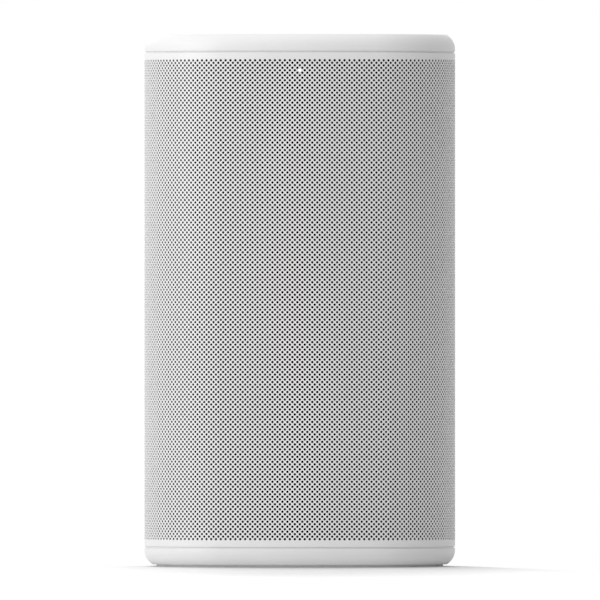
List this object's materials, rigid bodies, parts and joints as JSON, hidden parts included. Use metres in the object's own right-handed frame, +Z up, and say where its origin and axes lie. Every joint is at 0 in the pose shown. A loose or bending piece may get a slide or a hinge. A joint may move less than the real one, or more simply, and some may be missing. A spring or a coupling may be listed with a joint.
{
  "type": "smart speaker",
  "caption": "Portable upright smart speaker with an oval plan: perforated sleeve grille between two smooth caps, push keys on top and a small control panel at the rear",
  "frame": {"origin": "centre of the footprint on the surface that the speaker stands on", "axes": "+Z up, the front with the status light faces -Y, +X is to the right seen from the front"},
  "size_m": [0.1124, 0.0768, 0.1923],
  "materials": {
    "white_shell": "fine matt moulded, off-white",
    "grille_white": "matt off-white, closely perforated",
    "white_keys": "matt off-white, small raised or printed sign",
    "light_guide": "clear milky light guide",
    "black_cloth": "black open-weave acoustic cloth",
    "soft_foot": "soft grey elastomer",
    "panel_grey": "matt moulded panel",
    "dark_plastic": "black moulded, glass filled",
    "grey_plastic": "dark grey moulded",
    "black_rubber": "soft black rubber",
    "seal_foam": "closed-cell gasket",
    "board": "dark green solder mask",
    "steel": "zinc-plated pressed steel",
    "ferrite": "sintered ferrite",
    "aluminium": "bare sheet",
    "copper": "enamelled copper winding",
    "cell_wrap": "shrink sleeve over a metal can",
    "paper_cone": "coated paper cone",
    "silk": "coated silk dome",
    "spider_cloth": "resin-dipped cotton",
    "socket_metal": "drawn steel shell"
  },
  "bodies": {
    "speaker_body": {"acoustic_cloth": "black_cloth", "antennas": "copper", "base_cap": "white_shell", "base_frame": "dark_plastic", "base_screws": "steel", "battery_case": "grey_plastic", "battery_cells": "cell_wrap", "cabinet_seal": "seal_foam", "charging_coil": "copper", "charging_shield": "ferrite", "control_board": "board", "foot_ring": "soft_foot", "front_cabinet": "dark_plastic", "grille": "grille_white", "heat_spreader": "aluminium", "key_switches": "grey_plastic", "left_radiator_frame": "dark_plastic", "left_radiator_surround": "black_rubber", "left_tweeter_horn": "dark_plastic", "left_tweeter_motor": "steel", "main_board": "board", "microphones": "steel", "panel_seal": "seal_foam", "rear_cabinet": "dark_plastic", "rear_panel": "panel_grey", "rear_screws": "steel", "rear_switches": "grey_plastic", "right_radiator_frame": "dark_plastic", "right_radiator_surround": "black_rubber", "right_tweeter_horn": "dark_plastic", "right_tweeter_motor": "steel", "shield_cans": "steel", "status_lamp": "light_guide", "status_light_guide": "light_guide", "top_cap": "white_shell", "top_frame": "grey_plastic", "top_screws": "steel", "top_seal": "seal_foam", "usb_socket": "socket_metal", "woofer_frame": "steel", "woofer_magnet": "ferrite", "woofer_screws": "steel", "woofer_spider": "spider_cloth", "woofer_surround": "black_rubber", "woofer_top_plate": "steel", "woofer_yoke": "steel"},
    "voice_key_body": {"voice_key": "white_keys"},
    "minus_key_body": {"minus_key": "white_keys"},
    "play_key_body": {"play_key": "white_keys"},
    "plus_key_body": {"plus_key": "white_keys"},
    "power_key_body": {"power_key": "panel_grey"},
    "bluetooth_key_body": {"bluetooth_key": "panel_grey"},
    "microphone_switch_body": {"microphone_switch": "panel_grey"},
    "woofer_diaphragm": {"woofer_cone": "paper_cone", "woofer_dust_cap": "paper_cone", "woofer_voice_coil": "copper"},
    "left_radiator": {"left_radiator_plate": "aluminium"},
    "right_radiator": {"right_radiator_plate": "aluminium"},
    "left_tweeter": {"left_tweeter_dome": "silk"},
    "right_tweeter": {"right_tweeter_dome": "silk"}
  },
  "joints": [
    {"name": "voice_key_press", "type": "slide", "parent": "speaker_body", "child": "voice_key_body", "axis": [0, 0, -1], "range_m": [0, 0.0006], "stiffness_N_per_m": 1500},
    {"name": "minus_key_press", "type": "slide", "parent": "speaker_body", "child": "minus_key_body", "axis": [0, 0, -1], "range_m": [0, 0.0006], "stiffness_N_per_m": 1500},
    {"name": "play_key_press", "type": "slide", "parent": "speaker_body", "child": "play_key_body", "axis": [0, 0, -1], "range_m": [0, 0.0006], "stiffness_N_per_m": 1500},
    {"name": "plus_key_press", "type": "slide", "parent": "speaker_body", "child": "plus_key_body", "axis": [0, 0, -1], "range_m": [0, 0.0006], "stiffness_N_per_m": 1500},
    {"name": "power_key_press", "type": "slide", "parent": "speaker_body", "child": "power_key_body", "axis": [0, -1, 0], "range_m": [0, 0.0005], "stiffness_N_per_m": 1500},
    {"name": "bluetooth_key_press", "type": "slide", "parent": "speaker_body", "child": "bluetooth_key_body", "axis": [0, -1, 0], "range_m": [0, 0.0005], "stiffness_N_per_m": 1500},
    {"name": "microphone_switch_slide", "type": "slide", "parent": "speaker_body", "child": "microphone_switch_body", "axis": [0, 0, -1], "range_m": [0, 0.003]},
    {"name": "woofer_stroke", "type": "slide", "parent": "speaker_body", "child": "woofer_diaphragm", "axis": [0, -1, 0], "range_m": [-0.003, 0.003], "stiffness_N_per_m": 1800, "deforming": ["woofer_surround", "woofer_spider"]},
    {"name": "right_radiator_stroke", "type": "slide", "parent": "speaker_body", "child": "right_radiator", "axis": [1, 0, 0], "range_m": [-0.004, 0.004], "stiffness_N_per_m": 900, "deforming": ["right_radiator_surround"]},
    {"name": "left_radiator_stroke", "type": "slide", "parent": "speaker_body", "child": "left_radiator", "axis": [-1, 0, 0], "range_m": [-0.004, 0.004], "stiffness_N_per_m": 900, "deforming": ["left_radiator_surround"]},
    {"name": "right_tweeter_stroke", "type": "slide", "parent": "speaker_body", "child": "right_tweeter", "axis": [0.5736, -0.8192, 0], "range_m": [-0.0003, 0.0003], "stiffness_N_per_m": 2500},
    {"name": "left_tweeter_stroke", "type": "slide", "parent": "speaker_body", "child": "left_tweeter", "axis": [-0.5736, -0.8192, 0], "range_m": [-0.0003, 0.0003], "stiffness_N_per_m": 2500}
  ],
  "couplings": [
    {"joint": "left_radiator_stroke", "follows": "right_radiator_stroke", "ratio": 1}
  ]
}
